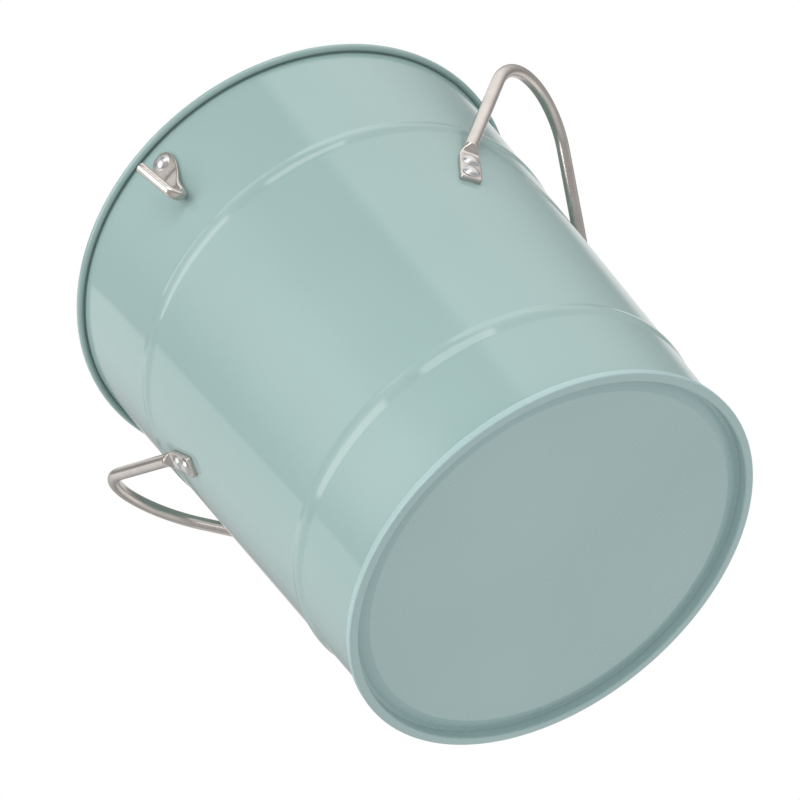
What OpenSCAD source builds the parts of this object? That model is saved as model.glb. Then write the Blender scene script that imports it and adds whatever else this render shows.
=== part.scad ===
// Painted steel pail with two fixed arch handles and a riveted hook below the rim.
// Millimetres. +Z up, origin at the centre of the ring the pail stands on.
// Handles lie along X, the hook is on the -Y side.

/* [Pail body] */
// outer radius of the wall, carried down to the floor plane
wall_r_foot = 84.4; // [80:0.1:90]
// outer radius of the wall at the rim plane
wall_r_rim = 102.5; // [98:0.1:110]
// height of the centre of the rolled rim
rim_z = 221; // [190:1:260]
// sheet thickness of wall and base
sheet_t = 0.5; // [0.4:0.05:0.8]
// outer diameter of the rolled rim
curl_d = 3.6; // [3.2:0.1:5]

/* [Beads] */
// height of the lower bead's middle
bead_low_z = 41.5; // [25:0.5:70]
// height of the upper bead's middle
bead_high_z = 163.5; // [155:0.5:180]
// width of a bead along the wall
bead_w = 9; // [6:0.5:12]
// how far a bead stands out of the wall
bead_h = 0.8; // [0.4:0.1:1.2]

/* [Base] */
// outer radius of the double seam the pail stands on
seam_r = 87; // [86.5:0.1:88]
// height of the seam
seam_h = 3.2; // [2.8:0.1:4.5]
// height of the flat base panel's underside above the floor plane
panel_z = 3.3; // [2.6:0.1:4]
// height of the groove round the panel, its deepest line seen from below
groove_z = 4.7; // [4:0.1:6]
// width of the slope from groove down to panel
step_w = 4.6; // [2:0.1:8]

/* [Handles] */
// diameter of the handle rod
rod_d = 5.6; // [4.5:0.1:6.5]
// angle round the pail from a handle's middle to the middle of its tab
tab_az = 31.4; // [26:0.1:36]
// height of the middle of the tab's two rivets
tab_z = 132; // [120:0.5:140]
// lean of tab and leg, top towards the handle's middle
tab_lean = 27; // [10:1:34]
// width of the flattened tab
tab_w = 8.9; // [8:0.1:12]
// thickness of the flattened tab
tab_t = 2.2; // [1.6:0.1:3]
// distance from the tab's end to the middle of the rivets
tab_end = 9.2; // [8:0.1:12]
// distance from the middle of the rivets up to the bend
neck_len = 15; // [11:0.1:18]
// how steeply the arch rises away from the wall
arch_tilt = 53; // [35:0.1:65]
// radius of the round top of the arch, rod middle
arch_r = 29.7; // [26:0.5:38]
// reach of the arch from the bend, along its own plane
arch_reach = 62.4; // [52:0.5:75]

/* [Rivets] */
// distance between the two rivets of a tab
rivet_gap = 9.2; // [8:0.1:11]
// diameter of a rivet's shank
shank_d = 3.2; // [2.4:0.1:4]
// diameter of a rivet's domed head
head_d = 7.4; // [5:0.1:7.5]
// height of a rivet's domed head
head_h = 1.8; // [1:0.1:2.4]
// outer diameter of the backing washer inside the wall
washer_d = 8; // [6:0.1:9]

/* [Hook] */
// angle of the hook round the pail from -Y, towards -X
hook_az = 1.7; // [0:0.1:6]
// height of the hook's rivet
hook_rivet_z = 208.5; // [200:0.1:212]
// diameter of the hook's rod
hook_d = 4.3; // [3.4:0.1:5]
// width of the hook's flattened tab
hook_tab_w = 10; // [8:0.1:11]
// thickness of the hook's flattened tab
hook_tab_t = 1.7; // [1.4:0.1:2.4]
// drop from the rivet to the start of the bend
hook_drop = 20.2; // [15:0.1:24]
// sideways shift of the rod from the rivet
hook_shift = 1.7; // [0:0.1:3]
// bend radius of the rod's middle
hook_bend_r = 3.5; // [3:0.1:5]
// turn of the bend, 180 being parallel to the wall
hook_turn = 163; // [150:1:175]
// angle of the bend's plane away from straight out
hook_skew = 20; // [0:1:35]
// length of the free leg
hook_leg = 16.8; // [10:0.1:20]

/* [Hidden] */
$fn = 96;

paint = "#b2cac6";
steel = "#b9b2ac";
bright = "#cfcfd0";

rod_r = rod_d / 2;
// wall slope
k = (wall_r_rim - wall_r_foot) / rim_z;
slope = atan(k);
curl_r = curl_d / 2;
// the rim's sheet is tangent to the wall's inner face
curl_c = wall_r_rim - sheet_t + curl_r;
wire_d = curl_d - 2 * sheet_t;

function wall_r(z) = wall_r_foot + k * z;
function bump(z, c) =
  abs(z - c) < bead_w / 2 ? bead_h / 2 * (1 + cos(360 * (z - c) / bead_w)) : 0;
function skin(z) = wall_r(z) + bump(z, bead_low_z) + bump(z, bead_high_z);
function bead_steps(c) = [for (i = [-4 : 4]) c + bead_w / 2 * i / 4];

function unit(v) = v / norm(v);
// rigid placement with columns x, y, z and position p
function frame(x, y, z, p) = [
  [x[0], y[0], z[0], p[0]],
  [x[1], y[1], z[1], p[1]],
  [x[2], y[2], z[2], p[2]],
  [0, 0, 0, 1]
];

// directions on the wall at angle a from +X: outward, sideways, up along the wall
function out_dir(a) = [cos(slope) * cos(a), cos(slope) * sin(a), -sin(slope)];
function side_dir(a) = [-sin(a), cos(a), 0];
function up_dir(a) = [sin(slope) * cos(a), sin(slope) * sin(a), cos(slope)];
function on_wall(a, z) = [wall_r(z) * cos(a), wall_r(z) * sin(a), z];

// frame of one handle tab on the +X handle; s is +1 or -1 for the two ends
function tab_at(s) = on_wall(s * tab_az, tab_z);
function tab_out(s) = out_dir(s * tab_az);
function tab_up(s) =
  cos(tab_lean) * up_dir(s * tab_az) - s * sin(tab_lean) * side_dir(s * tab_az);

// bend of the rod at the top of a tab
neck = tab_at(1) + neck_len * tab_up(1) + rod_r * tab_out(1);
arch_out = [cos(arch_tilt), 0, sin(arch_tilt)];
arch_c = arch_reach - arch_r;
// angle at which a straight leg meets the round top
leg_a = acos(arch_r / norm([neck[1], arch_c])) - atan2(arch_c, neck[1]);
arch_mid = [neck[0], 0, neck[2]] + arch_c * arch_out;
function leg_top(s) =
  arch_mid + arch_r * (sin(leg_a) * arch_out + s * cos(leg_a) * [0, 1, 0]);
function neck_at(s) = [neck[0], s * neck[1], neck[2]];

// turn between two directions, and how far before the corner its bend of radius rho starts
function turn(d1, d2) = acos(d1 * d2);
function bend_back(d1, d2, rho) = rho * tan(turn(d1, d2) / 2);
neck_r = rod_r + 0.8;
neck_back = bend_back(tab_up(1), unit(leg_top(1) - neck_at(1)), neck_r);
// where the rod is still fully round, measured up the tab from the rivets' middle
round_top = neck_len - neck_back;

// straight rod from a to b, a hair slimmer than the bends and let into them at both ends
lap = 0.2;
slim = 0.02;
module bar(a, b, r) {
  d = unit(b - a);
  h = abs(d[2]) < 0.9 ? [0, 0, 1] : [1, 0, 0];
  x = unit(cross(h, d));
  multmatrix(frame(x, cross(d, x), d, a - lap * d))
    cylinder(h = norm(b - a) + 2 * lap, r = r - slim);
}

// bend: rod of radius r turning from direction d1 to d2 about corner p
module bend(p, d1, d2, rho, r) {
  a = turn(d1, d2);
  z = unit(cross(d1, d2));
  n = cross(z, d1);
  c = p - bend_back(d1, d2, rho) * d1 + rho * n;
  multmatrix(frame(-n, d1, z, c))
    rotate_extrude(angle = a)
      translate([rho, 0])
        circle(r = r);
}

// ---- body ----

module body() {
  zs = concat([1.1], bead_steps(bead_low_z), bead_steps(bead_high_z), [rim_z]);
  color(paint) {
    rotate_extrude() {
      polygon(concat(
        [for (z = zs) [skin(z), z]],
        [for (i = [len(zs) - 1 : -1 : 0]) [skin(zs[i]) - sheet_t, zs[i]]]
      ));
    }
    rotate_extrude()
      difference() {
        translate([curl_c, rim_z]) circle(r = curl_r);
        translate([curl_c, rim_z]) circle(r = wire_d / 2);
      }
    // hook of the wall's sheet inside the seam
    rotate_extrude()
      polygon([
        [wall_r(1.1) - sheet_t, 0.7], [seam_r - 0.9, 0.7],
        [seam_r - 0.9, seam_h - 0.9], [seam_r - 1.3, seam_h - 0.9],
        [seam_r - 1.3, 1.1], [wall_r(1.1) - sheet_t, 1.1]
      ]);
  }
}

module body_cut() {
  difference() {
    body();
    for (s = [-1, 1])
      for (e = [-1, 1])
        for (i = [-1, 1])
          on_tab(s, e, i) shank_hole();
    on_hook() shank_hole();
  }
}

module rim_wire() {
  color(steel)
    rotate_extrude()
      translate([curl_c, rim_z])
        circle(r = wire_d / 2);
}

// ---- base ----

module base_pan() {
  chuck = wall_r(0) - sheet_t;
  groove_r = chuck - sheet_t - 1.6;
  c = 0.6;
  color(paint)
    rotate_extrude()
      polygon([
        // underside, from the middle outwards and down the recess
        [0, panel_z], [groove_r - step_w, panel_z],
        [groove_r, groove_z], [chuck - sheet_t - 0.6, groove_z],
        [chuck - sheet_t, groove_z - 0.6], [chuck - sheet_t, c],
        // round the seam
        [chuck - sheet_t + c, 0], [seam_r - c, 0],
        [seam_r - 0.15, 0.25], [seam_r, c],
        [seam_r, seam_h - c], [seam_r - 0.2, seam_h - 0.2],
        [seam_r - c, seam_h], [wall_r(seam_h), seam_h],
        // inside the seam, back down and up along the wall
        [wall_r(seam_h - 0.5), seam_h - 0.5], [seam_r - 0.5, seam_h - 0.5],
        [seam_r - 0.5, 0.45], [chuck, 0.45],
        [wall_r(groove_z) - sheet_t, groove_z],
        [wall_r(groove_z + 0.5) - sheet_t, groove_z + 0.5],
        // top face of the panel
        [groove_r - 0.1, groove_z + 0.5], [groove_r - step_w - 0.1, panel_z + 0.5],
        [0, panel_z + 0.5]
      ]);
}

// sealing compound that fills the seam
module seam_seal() {
  color("#8f8b80")
    rotate_extrude()
      polygon([
        [wall_r_foot - sheet_t + 0.05, 0.45], [seam_r - 0.5, 0.45],
        [seam_r - 0.5, seam_h - 0.5], [wall_r(seam_h - 0.5), seam_h - 0.5],
        [wall_r(1.1), 1.1], [seam_r - 1.3, 1.1],
        [seam_r - 1.3, seam_h - 0.9], [seam_r - 0.9, seam_h - 0.9],
        [seam_r - 0.9, 0.7], [wall_r_foot - sheet_t + 0.08, 0.7]
      ]);
}

// ---- handles ----

// space taken by the wall and everything inside it
module wall_space() {
  rotate_extrude()
    polygon([
      [0, 20], [wall_r(20), 20], [wall_r(rim_z), rim_z], [0, rim_z]
    ]);
}

// points of a rounded corner about c, from angle a to a + 90
function corner(c, r, a) = [for (i = [0 : 4]) c + r * [cos(a + i * 22.5), sin(a + i * 22.5)]];

// tab: flat plate with rounded lower corners, narrowing to the rod at the top
module tab_plate() {
  cr = 1.4;
  w = tab_w / 2;
  lo = -tab_end;
  translate([0, 0, -1])
    linear_extrude(tab_t + 1)
      polygon(concat(
        corner([-w + cr, lo + cr], cr, 180), corner([w - cr, lo + cr], cr, 270),
        [
          [w, round_top - 5], [rod_r - 0.2, round_top - 0.5],
          [-rod_r + 0.2, round_top - 0.5], [-w, round_top - 5]
        ]
      ));
}

// round rod crushed down to the plate's thickness
module tab_crush() {
  run = 4;
  difference() {
    translate([0, round_top - run, rod_r])
      rotate([-90, 0, 0])
        cylinder(h = run + lap, r = rod_r - slim);
    translate([-10, round_top - run, tab_t - 0.6])
      rotate([atan((rod_d - tab_t + 0.6) / run), 0, 0])
        translate([0, -5, 0])
          cube([20, 20, 10]);
  }
}

module tab(s) {
  u = tab_up(s);
  n = tab_out(s);
  multmatrix(frame(cross(u, n), u, n, tab_at(s))) {
    tab_plate();
    tab_crush();
  }
}

module handle() {
  color(steel)
    difference() {
      union() {
        multmatrix(frame(arch_out, [0, 1, 0], cross(arch_out, [0, 1, 0]), arch_mid))
          rotate([0, 0, -90 + leg_a])
            rotate_extrude(angle = 180 - 2 * leg_a)
              translate([arch_r, 0])
                circle(r = rod_r);
        for (s = [-1, 1]) {
          d1 = tab_up(s);
          d2 = unit(leg_top(s) - neck_at(s));
          bar(neck_at(s) + neck_back * d2, leg_top(s), rod_r);
          bend(neck_at(s), d1, d2, neck_r, rod_r);
          tab(s);
        }
      }
      wall_space();
      for (s = [-1, 1])
        for (i = [-1, 1])
          tab_spot(s, i) shank_hole();
    }
}

module handle_right() { handle(); }
module handle_left() { rotate([0, 0, 180]) handle(); }

// ---- rivets ----

// places a rivet: local origin on the wall, +Z outward
module tab_spot(e, i) {
  u = tab_up(e);
  n = tab_out(e);
  p = tab_at(e) + i * rivet_gap / 2 * u;
  multmatrix(frame(cross(u, n), u, n, p))
    children();
}

module on_tab(s, e, i) {
  rotate([0, 0, s > 0 ? 0 : 180])
    tab_spot(e, i)
      children();
}

module on_hook() {
  a = -90 - hook_az;
  multmatrix(frame(side_dir(a), up_dir(a), out_dir(a), on_wall(a, hook_rivet_z)))
    children();
}

module shank_hole() {
  translate([0, 0, -6])
    cylinder(h = 14, r = shank_d / 2, $fn = 64);
}

// domed head outside, shank through, flat formed tail inside
module rivet(plate) {
  rr = (head_d * head_d / 4 + head_h * head_h) / (2 * head_h);
  tail = -sheet_t - 0.25 - 0.8;
  color(bright) {
    intersection() {
      translate([0, 0, plate + head_h - rr]) sphere(r = rr);
      translate([0, 0, plate]) cylinder(h = head_h + 1, r = head_d / 2);
    }
    translate([0, 0, tail - 0.5]) cylinder(h = plate - tail + 0.6, r = shank_d / 2);
    translate([0, 0, tail - 1.1]) cylinder(h = 1.1, r1 = shank_d / 2 - 0.3, r2 = shank_d / 2 + 0.9);
  }
}

// backing washer between wall and tail
module washer() {
  color(bright)
    translate([0, 0, -sheet_t - 1.05])
      difference() {
        cylinder(h = 0.8, r = washer_d / 2);
        translate([0, 0, -1]) cylinder(h = 3, r = shank_d / 2);
      }
}

// i counts 1..4 round one handle: two rivets on each of its two tabs
function end_of(i) = i <= 2 ? -1 : 1;
function row_of(i) = i % 2 == 1 ? 1 : -1;
module tab_rivet(s, i) { on_tab(s, end_of(i), row_of(i)) rivet(tab_t); }
module tab_washer(s, i) { on_tab(s, end_of(i), row_of(i)) washer(); }

// ---- hook ----

// outline of the hook's flattened end, narrowing towards the rod
module hook_plate() {
  w = hook_tab_w / 2;
  h = hook_d / 2;
  translate([0, 0, -1])
    linear_extrude(hook_tab_t + 1) {
      circle(r = w);
      polygon([
        [w, 0], [w - 0.2, -6], [h - hook_shift, -hook_drop + 3],
        [h - hook_shift, -hook_drop], [-h - hook_shift, -hook_drop],
        [-h - hook_shift, -hook_drop + 3], [-w + 0.1, -6], [-w, 0]
      ]);
    }
}

module hook() {
  r = hook_d / 2;
  p = [-hook_shift, -hook_drop, r];
  h = [-sin(hook_skew), 0, cos(hook_skew)];
  c = p + hook_bend_r * h;
  e = c + hook_bend_r * (cos(180 - hook_turn) * h - sin(180 - hook_turn) * [0, 1, 0]);
  d = sin(180 - hook_turn) * h + cos(180 - hook_turn) * [0, 1, 0];
  color(steel)
    difference() {
      on_hook() {
        difference() {
          hook_plate();
          shank_hole();
        }
        difference() {
          bar(p + [0, 9, 0], p, r);
          translate([-8, -hook_drop + 1.5, hook_d])
            rotate([-26, 0, 0])
              cube([16, 12, 6]);
        }
        multmatrix(frame(-h, [0, -1, 0], cross(h, [0, 1, 0]), c))
          rotate_extrude(angle = hook_turn)
            translate([hook_bend_r, 0])
              circle(r = r);
        bar(e, e + hook_leg * d, r);
      }
      wall_space();
    }
}

// ---- nodes ----

body_cut();  // body
rim_wire();
base_pan();
seam_seal();
handle_left();
handle_right();
hook();
tab_rivet(-1, 1);  // rivet_left_1
tab_rivet(-1, 2);  // rivet_left_2
tab_rivet(-1, 3);  // rivet_left_3
tab_rivet(-1, 4);  // rivet_left_4
tab_rivet(1, 1);  // rivet_right_1
tab_rivet(1, 2);  // rivet_right_2
tab_rivet(1, 3);  // rivet_right_3
tab_rivet(1, 4);  // rivet_right_4
on_hook() rivet(hook_tab_t);  // rivet_hook
tab_washer(-1, 1);  // washer_left_1
tab_washer(-1, 2);  // washer_left_2
tab_washer(-1, 3);  // washer_left_3
tab_washer(-1, 4);  // washer_left_4
tab_washer(1, 1);  // washer_right_1
tab_washer(1, 2);  // washer_right_2
tab_washer(1, 3);  // washer_right_3
tab_washer(1, 4);  // washer_right_4
on_hook() washer();  // washer_hook
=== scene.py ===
"""Visual model of a painted steel pail with two arch handles and a riveted hook.

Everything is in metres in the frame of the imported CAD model: +Z up the pail's axis,
the handles along X, the hook on the -Y side.
"""

from math import acos, asin, atan, atan2, cos, hypot, pi, radians, sin, sqrt, tan

import bmesh
import bpy
from mathutils import Matrix, Vector


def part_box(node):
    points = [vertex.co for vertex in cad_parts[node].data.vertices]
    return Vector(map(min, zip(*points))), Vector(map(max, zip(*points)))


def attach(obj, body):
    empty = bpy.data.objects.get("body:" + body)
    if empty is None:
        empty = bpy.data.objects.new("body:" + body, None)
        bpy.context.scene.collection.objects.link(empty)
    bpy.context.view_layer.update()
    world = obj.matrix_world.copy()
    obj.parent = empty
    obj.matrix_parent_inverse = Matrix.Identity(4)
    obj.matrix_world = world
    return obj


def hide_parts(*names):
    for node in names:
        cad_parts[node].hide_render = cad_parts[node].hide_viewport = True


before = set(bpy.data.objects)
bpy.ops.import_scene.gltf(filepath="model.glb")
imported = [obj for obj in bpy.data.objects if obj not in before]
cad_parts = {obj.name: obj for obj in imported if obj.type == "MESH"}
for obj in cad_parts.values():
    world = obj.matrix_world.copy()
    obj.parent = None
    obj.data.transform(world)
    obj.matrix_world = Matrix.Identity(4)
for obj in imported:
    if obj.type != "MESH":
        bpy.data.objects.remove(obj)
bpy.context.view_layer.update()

MM = 0.001

# ---- sizes that the boxes of the CAD nodes give ----

_, pan_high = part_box("base_pan")
wire_low, wire_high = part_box("rim_wire")

SEAM_R = pan_high.x
WIRE_R = (wire_high.z - wire_low.z) / 2
RIM_Z = (wire_high.z + wire_low.z) / 2
SHEET = 0.5 * MM
CURL_R = WIRE_R + SHEET - 0.01 * MM
CURL_C = wire_high.x - WIRE_R
CURL_START = 196
CURL_STOP = 268
CREVICE_GAP = 0.03 * MM
CURL_EDGE = 4

# ---- sizes of the design, most of them as in the CAD source ----

WALL_R_FOOT = 84.4 * MM
WALL_R_RIM = 102.5 * MM
BEADS = (41.5 * MM, 163.5 * MM)
BEAD_W = 9 * MM
BEAD_H = 0.8 * MM

SEAM_H = 3.2 * MM
FOOT_Z = 0.9 * MM
PANEL_Z = 3.3 * MM
GROOVE_Z = 4.7 * MM
GROOVE_W = 1.6 * MM
STEP_W = 4.6 * MM

ROD_R = 2.8 * MM
TAB_AZ = radians(31.4)
TAB_Z = 132 * MM
TAB_LEAN = radians(27)
TAB_W = 8.9 * MM
TAB_T = 2.2 * MM
TAB_END = 9.2 * MM
TAB_CORNER = 1.5 * MM
TAB_EDGE = 0.35 * MM
SHOULDER_LOW = 5.6 * MM
SHOULDER_LEN = 5.2 * MM
CRUSH_LEN = 4.6 * MM
WRAP_FADE = 5 * MM
NECK_LEN = 15.0 * MM
NECK_BEND_R = 3.6 * MM
ARCH_TILT = radians(53)
ARCH_R = 29.7 * MM
ARCH_REACH = 62.4 * MM

RIVET_GAP = 9.2 * MM
SHANK_R = 1.6 * MM
HEAD_R = 3.7 * MM
HEAD_H = 1.8 * MM

HOOK_AZ = radians(1.7)
HOOK_Z = 208.5 * MM
HOOK_R = 2.15 * MM
HOOK_TAB_W = 10 * MM
HOOK_TAB_T = 1.7 * MM
HOOK_DROP = 20.2 * MM
HOOK_SHIFT = 1.7 * MM
HOOK_BEND_R = 3.5 * MM
HOOK_TURN = radians(163)
HOOK_SKEW = radians(20)
HOOK_LEG = 16.8 * MM
HOOK_TIP = HOOK_LEG + 0.2 * MM
NARROW_FROM = 2.5 * MM
ROUND_FROM = 7 * MM
HOOK_TIP_EDGE = 0.45 * MM

SLOPE = (WALL_R_RIM - WALL_R_FOOT) / RIM_Z
SLOPE_ANGLE = atan(SLOPE)


def wall_r(z):
    """Outer radius of the plain wall at height z."""
    return WALL_R_FOOT + SLOPE * z


def skin_r(z):
    """Outer radius of the wall with its two raised beads."""
    rise = sum(
        BEAD_H / 2 * (1 + cos(2 * pi * (z - c) / BEAD_W))
        for c in BEADS
        if abs(z - c) < BEAD_W / 2
    )
    return wall_r(z) + rise


def out_dir(a):
    """Outward normal of the wall at angle a from +X."""
    c = cos(SLOPE_ANGLE)
    return Vector((c * cos(a), c * sin(a), -sin(SLOPE_ANGLE)))


def side_dir(a):
    """Level direction along the wall at angle a."""
    return Vector((-sin(a), cos(a), 0))


def up_dir(a):
    """Direction up the wall's slope at angle a."""
    s = sin(SLOPE_ANGLE)
    return Vector((s * cos(a), s * sin(a), cos(SLOPE_ANGLE)))


def on_wall(a, z):
    """Point of the plain wall at angle a and height z."""
    return Vector((wall_r(z) * cos(a), wall_r(z) * sin(a), z))


def smooth(t):
    """Smooth step from 0 to 1."""
    t = min(max(t, 0), 1)
    return t * t * (3 - 2 * t)


# ---- mesh helpers ----


def finish_mesh(name, bm, material, node, sharp):
    """Turns a bmesh into a shaded piece that rides on the pail in place of a CAD node;
    edges that turn by more than sharp degrees stay crisp."""
    bmesh.ops.recalc_face_normals(bm, faces=bm.faces)
    mesh = bpy.data.meshes.new(name)
    bm.to_mesh(mesh)
    bm.free()
    mesh.shade_smooth()
    mesh.set_sharp_from_angle(angle=radians(sharp))
    mesh.materials.append(material)
    obj = bpy.data.objects.new(name, mesh)
    bpy.context.scene.collection.objects.link(obj)
    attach(obj, "root")
    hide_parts(node)


POLE_R = 1e-7


def spin(profile, segments, closed=True, place=Matrix.Identity(4)):
    """Bmesh of a (radius, height) profile turned round Z; radius 0 makes a pole."""
    bm = bmesh.new()
    uv = bm.loops.layers.uv.new("surface")
    rings = []
    for r, z in profile:
        sides = 1 if r < POLE_R else segments
        turns = [2 * pi * i / segments for i in range(sides)]
        ring = [place @ Vector((r * cos(t), r * sin(t), z)) for t in turns]
        rings.append([bm.verts.new(co) for co in ring])
    run = [0.0]
    for p, q in zip(profile, profile[1:] + profile[:1]):
        run.append(run[-1] + hypot(q[0] - p[0], q[1] - p[1]))
    count = len(rings) if closed else len(rings) - 1
    for k in range(count):
        a, b = rings[k], rings[(k + 1) % len(rings)]
        for i in range(segments):
            j = (i + 1) % segments
            if len(a) == 1 and len(b) == 1:
                continue
            if len(a) == 1:
                corners = [(a[0], i, k), (b[i], i, k + 1), (b[j], i + 1, k + 1)]
            elif len(b) == 1:
                corners = [(a[i], i, k), (b[0], i, k + 1), (a[j], i + 1, k)]
            else:
                corners = [
                    (a[i], i, k),
                    (b[i], i, k + 1),
                    (b[j], i + 1, k + 1),
                    (a[j], i + 1, k),
                ]
            face = bm.faces.new([c[0] for c in corners])
            for loop, (_, around, along) in zip(face.loops, corners):
                loop[uv].uv = (around / segments, run[along])
    return bm


def arc(centre, radius, start, end, steps):
    """Points on an arc in the (radius, height) plane, angles in degrees."""
    return [
        (
            centre[0] + radius * cos(radians(start + (end - start) * i / steps)),
            centre[1] + radius * sin(radians(start + (end - start) * i / steps)),
        )
        for i in range(steps + 1)
    ]


def fillet(points, radius, steps=5):
    """Rounds every inner corner of an open (radius, height) polyline, without using more
    than 0.45 of a side."""
    out = [points[0]]
    for p, q, r in zip(points, points[1:], points[2:]):
        p, q, r = Vector(p), Vector(q), Vector(r)
        u, v = (p - q).normalized(), (r - q).normalized()
        angle = acos(min(max(u.dot(v), -1), 1))
        if angle > radians(176):
            out.append(tuple(q))
            continue
        room = 0.45 * min((p - q).length, (r - q).length)
        back = min(radius / tan(angle / 2), room)
        a, b = q + back * u, q + back * v
        for i in range(steps + 1):
            t = i / steps
            out.append(tuple((1 - t) ** 2 * a + 2 * t * (1 - t) * q + t * t * b))
    out.append(points[-1])
    return out


# ---- materials ----


def new_material(name):
    """Empty node material: (material, nodes, links, shader)."""
    mat = bpy.data.materials.new(name)
    mat.use_nodes = True
    nodes, links = mat.node_tree.nodes, mat.node_tree.links
    return mat, nodes, links, nodes["Principled BSDF"]


def noise(nodes, links, source, scale, detail, rough=0.5):
    """Noise texture's value at a vector."""
    node = nodes.new("ShaderNodeTexNoise")
    node.inputs["Scale"].default_value = scale
    node.inputs["Detail"].default_value = detail
    node.inputs["Roughness"].default_value = rough
    links.new(source, node.inputs["Vector"])
    return node.outputs["Fac"]


def stretch(nodes, links, source, scale):
    """Vector scaled by a different factor on each axis."""
    node = nodes.new("ShaderNodeMapping")
    node.inputs["Scale"].default_value = scale
    links.new(source, node.inputs["Vector"])
    return node.outputs["Vector"]


def ramp(nodes, links, source, stops):
    """Colour ramp from [(position, colour)], colours as linear RGB."""
    node = nodes.new("ShaderNodeValToRGB")
    el = node.color_ramp.elements
    while len(el) < len(stops):
        el.new(0.5)
    for e, (pos, rgb) in zip(el, stops):
        e.position = pos
        e.color = (*rgb, 1)
    links.new(source, node.inputs["Fac"])
    return node.outputs["Color"]


def remap(nodes, links, source, low, high):
    """Maps 0.3..0.7 of a noise to low..high."""
    node = nodes.new("ShaderNodeMapRange")
    node.inputs["From Min"].default_value = 0.3
    node.inputs["From Max"].default_value = 0.7
    node.inputs["To Min"].default_value = low
    node.inputs["To Max"].default_value = high
    links.new(source, node.inputs["Value"])
    return node.outputs["Result"]


def bump(nodes, links, height, distance, strength, normal=None):
    """Normal tilted by a height value, on top of another normal if one is given."""
    node = nodes.new("ShaderNodeBump")
    node.inputs["Distance"].default_value = distance
    node.inputs["Strength"].default_value = strength
    links.new(height, node.inputs["Height"])
    if normal is not None:
        links.new(normal, node.inputs["Normal"])
    return node.outputs["Normal"]


def object_coords(nodes):
    return nodes.new("ShaderNodeTexCoord").outputs["Object"]


def enamel(name, base, rough=0.075, relief=1.0):
    """Glossy enamel: slightly cloudy tone, uneven gloss and a faint orange peel, which
    relief scales."""
    mat, nodes, links, shader = new_material(name)
    coords = object_coords(nodes)
    cloud = noise(nodes, links, coords, 9, 3)
    low = [c * 0.975 for c in base]
    high = [min(c * 1.025, 1) for c in base]
    links.new(
        ramp(nodes, links, cloud, [(0.35, low), (0.65, high)]),
        shader.inputs["Base Color"],
    )
    handled = noise(nodes, links, coords, 34, 5, 0.6)
    links.new(
        remap(nodes, links, handled, rough - 0.02, rough + 0.03),
        shader.inputs["Roughness"],
    )
    peel = noise(nodes, links, coords, 260, 1)
    ripple = noise(nodes, links, coords, 26, 1)
    first = bump(nodes, links, ripple, 0.00012, 0.25 * relief)
    fine = bump(nodes, links, peel, 0.00002, 0.12 * relief, first)
    links.new(fine, shader.inputs["Normal"])
    shader.inputs["Specular IOR Level"].default_value = 0.5
    shader.inputs["IOR"].default_value = 1.5
    return mat


def drawn_steel(name, base, rough, grain):
    """Satin plated steel: fine drawing lines along the rod, faint tarnish, small nicks."""
    mat, nodes, links, shader = new_material(name)
    uv = nodes.new("ShaderNodeUVMap")
    uv.uv_map = "surface"
    coords = object_coords(nodes)
    along = stretch(nodes, links, uv.outputs["UV"], (60, 45, 1))
    lines = noise(nodes, links, along, 1, 4, 0.65)
    blotch = noise(nodes, links, coords, 90, 4, 0.6)
    nick = noise(nodes, links, coords, 900, 2, 0.5)
    dark = [c * 0.90 for c in base]
    light = [min(c * 1.06, 1) for c in base]
    mix = nodes.new("ShaderNodeMix")
    mix.data_type = "RGBA"
    mix.blend_type = "MULTIPLY"
    mix.inputs[0].default_value = 0.45
    # a mix node's colours are its inputs 6 and 7 and its output 2
    links.new(ramp(nodes, links, blotch, [(0.3, dark), (0.7, light)]), mix.inputs[6])
    links.new(
        ramp(nodes, links, lines, [(0.3, (0.84,) * 3), (0.7, (1.0,) * 3)]), mix.inputs[7]
    )
    links.new(mix.outputs[2], shader.inputs["Base Color"])
    links.new(remap(nodes, links, lines, rough - 0.04, rough + 0.05), shader.inputs["Roughness"])
    first = bump(nodes, links, lines, 0.00002, grain)
    links.new(bump(nodes, links, nick, 0.00001, 0.12, first), shader.inputs["Normal"])
    shader.inputs["Metallic"].default_value = 1.0
    return mat


def bright_metal(name, base, rough):
    """Headed rivet metal: polished by the die, with small dents."""
    mat, nodes, links, shader = new_material(name)
    coords = object_coords(nodes)
    cloud = noise(nodes, links, coords, 260, 3, 0.6)
    dent = noise(nodes, links, coords, 620, 2, 0.5)
    links.new(
        ramp(nodes, links, cloud, [(0.3, [c * 0.86 for c in base]), (0.7, base)]),
        shader.inputs["Base Color"],
    )
    links.new(remap(nodes, links, dent, rough - 0.05, rough + 0.08), shader.inputs["Roughness"])
    links.new(bump(nodes, links, dent, 0.00005, 0.2), shader.inputs["Normal"])
    shader.inputs["Metallic"].default_value = 1.0
    return mat


def dull_compound(name, base):
    """Rubbery sealing compound."""
    mat, nodes, links, shader = new_material(name)
    coords = object_coords(nodes)
    grain = noise(nodes, links, coords, 700, 4)
    links.new(
        ramp(nodes, links, grain, [(0.3, [c * 0.8 for c in base]), (0.7, base)]),
        shader.inputs["Base Color"],
    )
    links.new(remap(nodes, links, grain, 0.7, 0.9), shader.inputs["Roughness"])
    links.new(bump(nodes, links, grain, 0.0001, 0.4), shader.inputs["Normal"])
    return mat


PAINT = (0.318, 0.452, 0.435)
# the base's copy of the sage enamel is lighter and bluer than the wall's; the difference is
# painted light, set to how light falls on the base
PAINT_BASE_WITH_PAINTED_LIGHT = (0.388, 0.535, 0.535)
STEEL = (0.585, 0.540, 0.505)
RIVET = (0.61, 0.605, 0.605)

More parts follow.
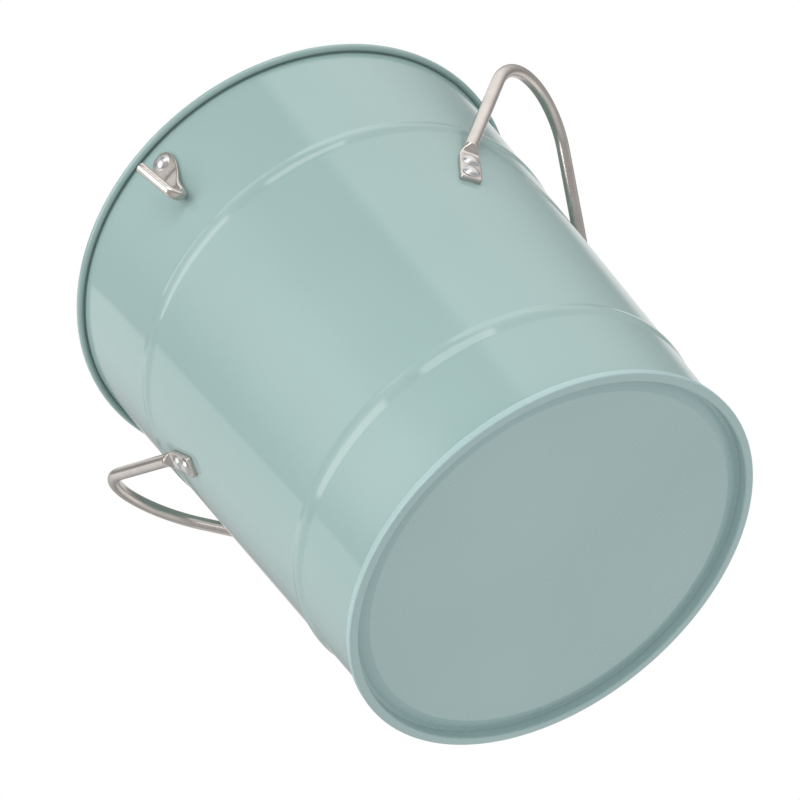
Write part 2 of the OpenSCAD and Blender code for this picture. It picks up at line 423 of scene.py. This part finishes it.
paint = enamel("sage_enamel", PAINT)
paint_base_with_painted_light = enamel("sage_enamel_base_painted_light", PAINT_BASE_WITH_PAINTED_LIGHT, 0.28, 0.2)
rod_steel = drawn_steel("satin_rod", STEEL, 0.24, 0.35)
wire_steel = drawn_steel("plain_wire", (0.5, 0.49, 0.48), 0.4, 0.4)
rivet_metal = bright_metal("rivet_metal", RIVET, 0.32)
compound = dull_compound("seam_compound", (0.15, 0.14, 0.12))


# ---- pail ----

PAIL_SEGMENTS = 288


def wall_profile():
    """Closed outline of the wall's sheet, beads and rolled rim in section."""
    heights = [FOOT_Z, SEAM_H + 0.3 * MM]
    for c in BEADS:
        heights += [c + BEAD_W / 2 * i / 12 for i in range(-12, 13)]
    heights += [100 * MM, 200 * MM]
    heights.sort()
    outer = [(skin_r(z), z) for z in heights if z < RIM_Z - 3 * MM]
    outer += [(wall_r(RIM_Z - d * MM), RIM_Z - d * MM) for d in (2.4, 1.6, 0.9, 0.4)]
    inner = [(r - SHEET, z) for r, z in outer]
    # the curl's free edge stops short of the wall and leaves a dark crevice under the rim
    centre = (CURL_C, RIM_Z)
    crevice = arc(centre, WIRE_R + CREVICE_GAP, CURL_START, CURL_STOP, 14)
    curl = arc(centre, CURL_R, CURL_STOP + CURL_EDGE - 360, 180, 44)
    return outer + crevice + curl + inner[::-1]


pail_wall = spin(wall_profile(), PAIL_SEGMENTS)
finish_mesh("wall_shell", pail_wall, paint, "body", 50)


def base_profile():
    """Closed outline of the base: panel, groove, recess wall and the seam's outer skin."""
    chuck = wall_r(0) - SHEET
    groove = chuck - SHEET - GROOVE_W
    under = fillet(
        [
            (0, PANEL_Z),
            (groove - STEP_W, PANEL_Z),
            (groove, GROOVE_Z),
            (chuck - SHEET, GROOVE_Z),
            (chuck - SHEET, 0),
            (SEAM_R, 0),
            (SEAM_R, SEAM_H),
            (wall_r(SEAM_H) + 0.1 * MM, SEAM_H),
            (wall_r(SEAM_H) - 0.1 * MM, SEAM_H + 0.15 * MM),
        ],
        0.8 * MM,
        6,
    )
    top_z = GROOVE_Z + SHEET
    top = fillet(
        [
            (wall_r(SEAM_H) - 0.3 * MM, SEAM_H + 0.15 * MM),
            (wall_r(top_z) - SHEET, top_z),
            (groove - 0.1 * MM, top_z),
            (groove - STEP_W - 0.1 * MM, PANEL_Z + SHEET),
            (0, PANEL_Z + SHEET),
        ],
        0.6 * MM,
        4,
    )
    return under + top


pail_base = spin(base_profile(), PAIL_SEGMENTS, closed=False)
# the base wears the lighter copy of the enamel, whose extra lightness is painted light
finish_mesh("base_shell", pail_base, paint_base_with_painted_light, "base_pan", 40)


# ---- bent rods with flattened ends ----


def bend_points(corner, d1, d2, radius, steps):
    """Arc that turns from direction d1 to d2 about a corner."""
    turn = acos(min(max(d1.dot(d2), -1), 1))
    axis = d1.cross(d2).normalized()
    inward = axis.cross(d1)
    centre = corner - radius * tan(turn / 2) * d1 + radius * inward
    out = []
    for i in range(steps + 1):
        a = turn * i / steps
        out.append(centre - radius * cos(a) * inward + radius * sin(a) * d1)
    return out


UV_SCALE = 20


def sweep(stations, around):
    """Closed bmesh through stations of (point, width direction, height direction, half
    width, half height, squareness)."""
    bm = bmesh.new()
    uv = bm.loops.layers.uv.new("surface")
    rings = []
    run = [0.0]
    for k, (p, wd, hd, hw, hh, n) in enumerate(stations):
        if k:
            run.append(run[-1] + (p - stations[k - 1][0]).length)
        ring = []
        for i in range(around):
            t = 2 * pi * i / around
            c, s = cos(t), sin(t)
            x = hw * (abs(c) ** (2 / n)) * (1 if c >= 0 else -1)
            y = hh * (abs(s) ** (2 / n)) * (1 if s >= 0 else -1)
            ring.append(bm.verts.new(p + x * wd + y * hd))
        rings.append(ring)
    for k in range(len(rings) - 1):
        for i in range(around):
            j = (i + 1) % around
            face = bm.faces.new(
                (rings[k][i], rings[k][j], rings[k + 1][j], rings[k + 1][i])
            )
            where = ((i, k), (i + 1, k), (i + 1, k + 1), (i, k + 1))
            for loop, (a, b) in zip(face.loops, where):
                loop[uv].uv = (a / around, run[b] * UV_SCALE)
    bm.faces.new(rings[0][::-1])
    bm.faces.new(rings[-1])
    return bm


def carry(direction, before, after):
    """Turns a direction along with the path as it bends from one tangent to the next."""
    axis = before.cross(after)
    if axis.length < 1e-9:
        return direction.copy()
    angle = atan2(axis.length, before.dot(after))
    return Matrix.Rotation(angle, 3, axis.normalized()) @ direction


def carried(path, before, wide, tall):
    """Path points, each with its width and height directions and tangent; the directions
    are carried on from a tangent before the path."""
    out = []
    for k, q in enumerate(path):
        a, b = path[max(k - 1, 0)], path[min(k + 1, len(path) - 1)]
        tangent = (b - a).normalized()
        wide, tall = carry(wide, before, tangent), carry(tall, before, tangent)
        before = tangent
        out.append((q, wide, tall, tangent))
    return out


def wrap_to_wall(bm, weight_of):
    """Bends a flat tab's vertices round the wall: height over the tangent plane becomes
    height over the wall."""
    for v in bm.verts:
        weight, origin, normal = weight_of(v.co)
        if weight <= 0:
            continue
        height = (v.co - origin).dot(normal)
        now = hypot(v.co.x, v.co.y) - wall_r(v.co.z)
        shift = (height - now * cos(SLOPE_ANGLE)) * weight
        a = atan2(v.co.y, v.co.x)
        v.co += shift * out_dir(a)


def tab_frame(side, end):
    """Middle of a tab's rivets on the wall, its up, outward and width directions.
    side is +1 for the +X handle, end is +1 or -1 for its two ends."""
    a = end * TAB_AZ
    p = on_wall(a, TAB_Z)
    up = cos(TAB_LEAN) * up_dir(a) - end * sin(TAB_LEAN) * side_dir(a)
    out = out_dir(a)
    if side < 0:
        half_turn = Matrix.Rotation(pi, 3, "Z")
        p, up, out = half_turn @ p, half_turn @ up, half_turn @ out
    return p, up, out, up.cross(out)


ROUND_STEPS = 9


def handle_path():
    """The +X handle's round rod from one neck to the other, and where each tab starts."""
    p, up, out, _ = tab_frame(1, -1)
    neck = p + NECK_LEN * up + ROD_R * out
    half = abs(neck.y)
    arch_out = Vector((cos(ARCH_TILT), 0, sin(ARCH_TILT)))
    arch_c = ARCH_REACH - ARCH_R
    leg_angle = acos(ARCH_R / hypot(half, arch_c)) - atan2(arch_c, half)
    foot = Vector((neck.x, 0, neck.z))
    mid = foot + arch_c * arch_out
    y = Vector((0, 1, 0))

    def round_top(t):
        return mid + ARCH_R * (sin(t) * y + cos(t) * arch_out)

    limit = pi / 2 - leg_angle
    leg_end = round_top(-limit)
    d2 = (leg_end - neck).normalized()
    first = bend_points(neck, up, d2, NECK_BEND_R, ROUND_STEPS)
    leg = [first[-1].lerp(leg_end, i / 10) for i in range(1, 10)]
    half_path = first + leg
    arch = [round_top(-limit + 2 * limit * i / 64) for i in range(65)]
    mirror = [Vector((q.x, -q.y, q.z)) for q in reversed(half_path)]
    return half_path + arch + mirror


def rounding(radius, from_end):
    """How much a rounded edge takes off at a distance from the end."""
    cut = max(radius - from_end, 0)
    return radius - sqrt(max(radius**2 - cut**2, 0))


def tab_section(d):
    """Half width, half thickness and squareness of the tab at d up from the rivets' middle,
    from its square-cut end to the fully round rod."""
    shoulder = smooth((d - (ROUND_TOP - SHOULDER_LOW)) / SHOULDER_LEN)
    crush = smooth((d - (ROUND_TOP - CRUSH_LEN)) / CRUSH_LEN)
    hw = TAB_W / 2 + (ROD_R - TAB_W / 2) * shoulder
    hh = TAB_T / 2 + (ROD_R - TAB_T / 2) * crush
    n = 7 - 5 * smooth(crush * 1.1)
    from_end = d + TAB_END
    hw -= rounding(TAB_CORNER, from_end)
    hh -= rounding(TAB_EDGE, from_end)
    return hw, hh, n


def neck_top():
    """Height above the rivets' middle where the round rod starts to bend."""
    p, up, _, _ = tab_frame(1, -1)
    return (handle_path()[0] - p).dot(up)


ROUND_TOP = neck_top()


def tab_stations(end):
    """Stations of the +X handle's tab from its cut end up to the rod."""
    p, up, out, wide = tab_frame(1, end)
    near_end = [0.0, 0.05, 0.12, 0.2, 0.35, 0.6, 0.9, 1.2, 1.5]
    marks = [-TAB_END + t * MM for t in near_end]
    body_len = ROUND_TOP - marks[-1]
    marks += [marks[-1] + body_len * i / 44 for i in range(1, 44)]
    out_list = []
    for d in marks:
        hw, hh, n = tab_section(d)
        out_list.append((p + d * up + hh * out, wide, out, hw, hh, n))
    return out_list


def make_handle(name, side, node):
    """One handle: tab, bend, leg, round top, and the same back down."""
    near_tab = tab_stations(-1)
    far_tab = tab_stations(1)
    _, wide, tall = near_tab[-1][:3]
    rod = carried(handle_path(), tab_frame(1, -1)[1], wide, tall)
    # the far tab's directions mirror the near tab's, so half a turn is left over here, and
    # it is spread evenly along the rod
    down = -tab_frame(1, 1)[1]
    end_wide = carry(rod[-1][1], rod[-1][3], down)
    aim_wide, aim_tall = far_tab[-1][1], far_tab[-1][2]
    twist = atan2(end_wide.dot(aim_tall), end_wide.dot(aim_wide))
    stations = list(near_tab)
    count = len(rod) - 1
    for k, (q, wd, hd, tangent) in enumerate(rod):
        turn = Matrix.Rotation(-twist * k / count, 3, tangent)
        stations.append((q, turn @ wd, turn @ hd, ROD_R, ROD_R, 2.0))
    stations += far_tab[::-1]
    bm = sweep(stations, 40)
    frames = [tab_frame(1, e) for e in (-1, 1)]

    def weight_of(co):
        p, up, out, _ = min(frames, key=lambda f: (co - f[0]).length)
        d = (co - p).dot(up)
        return 1 - smooth((d - (ROUND_TOP - WRAP_FADE)) / WRAP_FADE), p, out

    wrap_to_wall(bm, weight_of)
    if side < 0:
        half_turn = Matrix.Rotation(pi, 3, "Z")
        bmesh.ops.rotate(bm, verts=bm.verts, cent=(0, 0, 0), matrix=half_turn)
    finish_mesh(name, bm, rod_steel, node, 50)


make_handle("handle_rod_right", 1, "handle_right")
make_handle("handle_rod_left", -1, "handle_left")


# ---- hook ----


def hook_frame():
    """Rivet's place on the wall and the hook's side, up and outward directions."""
    a = -pi / 2 - HOOK_AZ
    return on_wall(a, HOOK_Z), side_dir(a), up_dir(a), out_dir(a)


def hook_tab():
    """Stations of the hook's tab, from its round top down to the rod."""
    p, side, up, out = hook_frame()
    top, drop = HOOK_TAB_W / 2, HOOK_DROP
    marks = [top * cos(radians(t)) for t in range(3, 90, 6)]
    marks += [-drop * i / 30 for i in range(31)]
    stations = []
    for d in marks:
        shift = HOOK_SHIFT * smooth(-d / drop * 1.02)
        narrow = smooth((-d - NARROW_FROM) / (drop - 2 * NARROW_FROM))
        crush = smooth((-d - ROUND_FROM) / (drop - ROUND_FROM - 1 * MM))
        hw = sqrt(top * top - d * d) if d > 0 else top + (HOOK_R - top) * narrow
        hh = HOOK_TAB_T / 2 + (HOOK_R - HOOK_TAB_T / 2) * crush
        if d > 0:
            hh *= min(1, 0.72 + 0.28 * sqrt(max(1 - (d / top) ** 6, 0)))
        centre = p + d * up - shift * side + hh * out
        stations.append((centre, side, out, hw, hh, 6 - 4 * crush))
    return stations


def hook_rod():
    """Stations of the hook's rod: the bend under the tab and the leg in front of it."""
    p, side, up, out = hook_frame()
    skew_out = cos(HOOK_SKEW) * out - sin(HOOK_SKEW) * side
    start = p - HOOK_DROP * up - HOOK_SHIFT * side + HOOK_R * out
    centre = start + HOOK_BEND_R * skew_out
    turns = [HOOK_TURN * i / 28 for i in range(1, 29)]
    path = [centre - HOOK_BEND_R * (cos(a) * skew_out + sin(a) * up) for a in turns]
    lean = pi - HOOK_TURN
    leg_dir = sin(lean) * skew_out + cos(lean) * up
    leg_start = path[-1]
    leg = [HOOK_LEG * i / 12 for i in range(1, 11)]
    tip = [HOOK_TIP - HOOK_TIP_EDGE * t for t in (1, 0.7, 0.45, 0.25, 0.1, 0)]
    path += [leg_start + d * leg_dir for d in leg + tip]
    stations = []
    for q, wide, tall, _ in carried([start] + path, -up, side, out)[1:]:
        from_tip = HOOK_TIP - (q - leg_start).dot(leg_dir)
        r = HOOK_R - rounding(HOOK_TIP_EDGE, from_tip)
        stations.append((q, wide, tall, r, r, 2.0))
    return stations


def make_hook():
    """Hook: round-ended tab under the rivet, narrowing to a rod that bends up and out."""
    p, _, up, out = hook_frame()
    bm = sweep(hook_tab() + hook_rod(), 36)

    def weight_of(co):
        d = (co - p).dot(up)
        on_tab = 1 - smooth((-d - 9 * MM) / (6 * MM))
        # the hook's leg stands in front of the tab and is left alone
        limit = 1.2 * HOOK_TAB_T if d > -11 * MM else 2.4 * MM
        return (0 if (co - p).dot(out) > limit else on_tab), p, out

    wrap_to_wall(bm, weight_of)
    finish_mesh("hook_rod", bm, rod_steel, "hook", 45)


make_hook()


# ---- rivets ----


def rivet_profile(plate):
    """Closed (radius, height) outline: domed head, shank, formed tail inside the wall."""
    dome_r = (HEAD_R**2 + HEAD_H**2) / (2 * HEAD_H)
    centre = plate + HEAD_H - dome_r
    span = asin(HEAD_R / dome_r)
    steps = 14
    points = [
        (dome_r * sin(span * i / steps), centre + dome_r * cos(span * i / steps))
        for i in range(steps)
    ]
    points[0] = (0, points[0][1])
    # a small upright edge below the dome, let into the tab
    points += [
        (HEAD_R - 0.04 * MM, plate + 0.16 * MM),
        (HEAD_R, plate + 0.06 * MM),
        (HEAD_R, plate - 0.02 * MM),
        (SHANK_R, plate - 0.02 * MM),
    ]
    washer = -SHEET - 1.05 * MM
    tail_r = SHANK_R + 0.9 * MM
    points += [(SHANK_R, washer), (tail_r, washer)]
    points += [
        (tail_r - 0.15 * MM, washer - 0.45 * MM),
        (tail_r - 0.6 * MM, washer - 0.95 * MM),
        (SHANK_R - 0.5 * MM, washer - 1.08 * MM),
        (0, washer - 1.1 * MM),
    ]
    return points


def rivet(name, p, side, up, out, plate, node):
    """Rivet through a plate of a given thickness, standing on the wall at p."""
    place = Matrix((side, up, out)).transposed().to_4x4()
    place.translation = p
    bm = spin(rivet_profile(plate), 48, closed=False, place=place)
    finish_mesh(name, bm, rivet_metal, node, 42)


for side_name, side_sign in (("left", -1), ("right", 1)):
    for number in range(1, 5):
        end = -1 if number <= 2 else 1
        row = 1 if number % 2 == 1 else -1
        p, up, out, wide = tab_frame(side_sign, end)
        p = p + row * RIVET_GAP / 2 * up
        label = f"{side_name}_{number}"
        rivet(f"rivet_head_{label}", p, wide, up, out, TAB_T, f"rivet_{label}")

hook_p, hook_side, hook_up, hook_out = hook_frame()
rivet("rivet_head_hook", hook_p, hook_side, hook_up, hook_out, HOOK_TAB_T, "rivet_hook")


# ---- CAD nodes that stay, with finished materials ----

for node_name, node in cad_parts.items():
    if node_name.startswith("washer"):
        surface = rivet_metal
    elif node_name == "rim_wire":
        surface = wire_steel
    elif node_name == "seam_seal":
        surface = compound
    else:
        continue
    node.data.materials.clear()
    node.data.materials.append(surface)


# ---- studio ----


def sight(azimuth, elevation):
    """Direction from the pail to a viewer or a light; azimuth 0 is the -Y side."""
    level = cos(elevation)
    return Vector((sin(azimuth) * level, -cos(azimuth) * level, sin(elevation)))


# a broad square light overhead, for the views from above and the inside of the pail
LIGHT_AZIMUTH = radians(-30)
LIGHT_ELEVATION = radians(82)
LIGHT_DISTANCE = 1.8
LIGHT_SIZE = 1.3
LIGHT_RADIANCE = 0.7


def overhead_light():
    """Soft box over the pail, aimed at its middle."""
    direction = sight(LIGHT_AZIMUTH, LIGHT_ELEVATION)
    data = bpy.data.lights.new("overhead", "AREA")
    data.shape = "SQUARE"
    data.size = LIGHT_SIZE
    data.energy = LIGHT_RADIANCE * pi * LIGHT_SIZE**2
    light = bpy.data.objects.new("overhead", data)
    light.location = Vector((0, 0, RIM_Z / 2)) + LIGHT_DISTANCE * direction
    light.rotation_mode = "QUATERNION"
    light.rotation_quaternion = (-direction).to_track_quat("-Z", "Y")
    bpy.context.scene.collection.objects.link(light)


overhead_light()

# plain display of the colours, without a film curve
bpy.context.scene.view_settings.view_transform = "Standard"

# strengths of the surroundings as light; the camera sees plain white
FILL = 0.37
BELOW = 0.15
NADIR = 0.30
LEFT_BOX = 0.75
RIGHT_BOX = 1.05
FRONT_GLOW = 1.3
REAR_PANEL = 0.50
STRIPS = 2.8

# where they lie, in degrees of azimuth or elevation: an edge is (place, softness) and
# a span is (low, high, softness at low, softness at high)
BOX_RISE = (-8, 76, 12, 12)
LEFT_NEAR = (69, 1.5)
LEFT_FAR = (-122, 70)
LEFT_KNEES = ((33, 0.9), (42, 1.6))
RIGHT_SPAN = (48, 115, 9, 60)
GLOW_MIDDLE = -25
GLOW_WIDTH = 28
GLOW_RISE = (-5, 41, 20, 15)
STRIP_LEFT = (-55, -3, 3, 3)
STRIP_RIGHT = (17, 54, 3, 3)
STRIP_RISE = (-4, 18, 3, 3)
REAR_SIDE = (156, 14)
REAR_RISE = (-60, 30)
BELOW_EDGE = (8, 24)
NADIR_EDGE = (45, 30)


def studio_world():
    """White surroundings that light the pail as plain soft boxes would."""
    world = bpy.data.worlds.new("studio")
    bpy.context.scene.world = world
    world.use_nodes = True
    nodes, links = world.node_tree.nodes, world.node_tree.links
    nodes.clear()

    def put(value, socket):
        """Sets a socket to a number or links an output to it."""
        if isinstance(value, (int, float)):
            socket.default_value = value
        else:
            links.new(value, socket)

    def calc(operation, *values):
        node = nodes.new("ShaderNodeMath")
        node.operation = operation
        for value, socket in zip(values, node.inputs):
            put(value, socket)
        return node.outputs[0]

    def edge(value, at, soft):
        """0 below at, 1 above it, over a width of soft."""
        node = nodes.new("ShaderNodeMapRange")
        node.interpolation_type = "SMOOTHSTEP"
        put(value, node.inputs["Value"])
        node.inputs["From Min"].default_value = at - soft / 2
        node.inputs["From Max"].default_value = at + soft / 2
        return node.outputs["Result"]

    def product(*values):
        total = values[0]
        for value in values[1:]:
            total = calc("MULTIPLY", total, value)
        return total

    def band(pair, low, high, soft_low, soft_high):
        """1 between low and high of a value, which comes with its negative."""
        return product(edge(pair[0], low, soft_low), edge(pair[1], -high, soft_high))

    split = nodes.new("ShaderNodeSeparateXYZ")
    links.new(nodes.new("ShaderNodeTexCoord").outputs["Generated"], split.inputs[0])
    to_degrees = 180 / pi
    azimuth = calc(
        "MULTIPLY",
        calc("ARCTAN2", split.outputs["X"], calc("MULTIPLY", split.outputs["Y"], -1)),
        to_degrees,
    )
    height = calc("MULTIPLY", calc("ARCSINE", split.outputs["Z"]), to_degrees)
    opposite = calc("MULTIPLY", azimuth, -1)
    sinking = calc("MULTIPLY", height, -1)
    around, rise = (azimuth, opposite), (height, sinking)

    # the left box's near edge leans away above the pail
    lean = calc(
        "ADD",
        *[
            calc("MULTIPLY", calc("MAXIMUM", calc("SUBTRACT", height, knee), 0), slope)
            for knee, slope in LEFT_KNEES
        ],
    )
    tall = band(rise, *BOX_RISE)
    near_edge = edge(calc("SUBTRACT", opposite, lean), *LEFT_NEAR)
    left = product(near_edge, edge(azimuth, *LEFT_FAR), tall)
    right = product(band(around, *RIGHT_SPAN), tall)
    off = calc("ABSOLUTE", calc("DIVIDE", calc("SUBTRACT", azimuth, GLOW_MIDDLE), GLOW_WIDTH))
    bell = calc("EXPONENT", calc("MULTIPLY", calc("POWER", off, 3), -1))
    front = product(bell, band(rise, *GLOW_RISE))
    # two long low strips in front, which draw the bright lines along the beads
    both = calc("ADD", band(around, *STRIP_LEFT), band(around, *STRIP_RIGHT))
    strips = product(both, band(rise, *STRIP_RISE))
    # the white behind the pail, which the wall mirrors at its outline
    behind_pail = edge(calc("ABSOLUTE", azimuth), *REAR_SIDE)
    rear = product(behind_pail, edge(height, *REAR_RISE))
    light = calc("MULTIPLY_ADD", edge(sinking, *BELOW_EDGE), BELOW, FILL)
    light = calc("MULTIPLY_ADD", edge(sinking, *NADIR_EDGE), NADIR, light)
    light = calc("MULTIPLY_ADD", rear, REAR_PANEL, light)
    light = calc("MULTIPLY_ADD", strips, STRIPS, light)
    light = calc("MULTIPLY_ADD", left, LEFT_BOX, light)
    light = calc("MULTIPLY_ADD", right, RIGHT_BOX, light)
    light = calc("MULTIPLY_ADD", front, FRONT_GLOW, light)

    fill = nodes.new("ShaderNodeBackground")
    links.new(light, fill.inputs["Strength"])
    behind = nodes.new("ShaderNodeBackground")
    for node in (fill, behind):
        node.inputs["Color"].default_value = (1, 1, 1, 1)
    which = nodes.new("ShaderNodeMixShader")
    links.new(nodes.new("ShaderNodeLightPath").outputs["Is Camera Ray"], which.inputs["Fac"])
    links.new(fill.outputs[0], which.inputs[1])
    links.new(behind.outputs[0], which.inputs[2])
    links.new(which.outputs[0], nodes.new("ShaderNodeOutputWorld").inputs["Surface"])


studio_world()


def floor_material():
    """Pale matt floor that shows from above only, so that the pail can be seen from below."""
    mat, nodes, links, shader = new_material("studio_floor")
    shader.inputs["Base Color"].default_value = (0.86, 0.86, 0.86, 1)
    shader.inputs["Roughness"].default_value = 0.9
    clear = nodes.new("ShaderNodeBsdfTransparent")
    mix = nodes.new("ShaderNodeMixShader")
    geometry = nodes.new("ShaderNodeNewGeometry")
    links.new(geometry.outputs["Backfacing"], mix.inputs["Fac"])
    links.new(shader.outputs[0], mix.inputs[1])
    links.new(clear.outputs[0], mix.inputs[2])
    links.new(mix.outputs[0], nodes["Material Output"].inputs["Surface"])
    return mat


FLOOR_HALF = 6.0
FLOOR_GAP = 0.2 * MM


def make_floor():
    """Square floor just under the pail, which neither lights nor shades it."""
    bm = bmesh.new()
    signs = ((-1, -1), (1, -1), (1, 1), (-1, 1))
    bm.faces.new([bm.verts.new((x * FLOOR_HALF, y * FLOOR_HALF, 0)) for x, y in signs])
    mesh = bpy.data.meshes.new("floor")
    bm.to_mesh(mesh)
    bm.free()
    mesh.materials.append(floor_material())
    floor = bpy.data.objects.new("floor", mesh)
    floor.location.z = -FLOOR_GAP
    bpy.context.scene.collection.objects.link(floor)
    for ray in ("diffuse", "glossy", "transmission", "volume_scatter", "shadow"):
        setattr(floor, f"visible_{ray}", False)


make_floor()

# ---- camera ----

# view from below and in front, rolled so that the pail leans to the left
CAM_AZIMUTH = radians(8.86)
CAM_ELEVATION = radians(-43.41)
CAM_ROLL = radians(-39.5)
CAM_DISTANCE = 0.8974
CAM_LENS = 98.6
CAM_AIM = Vector((-5.7 * MM, -0.8 * MM, 118.3 * MM))

CAM_SENSOR = 36


def add_camera():
    """Camera that looks at its aim from a given side and distance."""
    back = sight(CAM_AZIMUTH, CAM_ELEVATION)
    data = bpy.data.cameras.new("camera")
    data.lens = CAM_LENS
    data.sensor_width = CAM_SENSOR
    data.clip_start = 0.01
    data.clip_end = 100
    camera = bpy.data.objects.new("camera", data)
    camera.rotation_mode = "QUATERNION"
    camera.location = CAM_AIM + CAM_DISTANCE * back
    level = (-back).to_track_quat("-Z", "Y")
    roll = Matrix.Rotation(CAM_ROLL, 3, "Z").to_quaternion()
    camera.rotation_quaternion = level @ roll
    bpy.context.scene.collection.objects.link(camera)
    bpy.context.scene.camera = camera


add_camera()
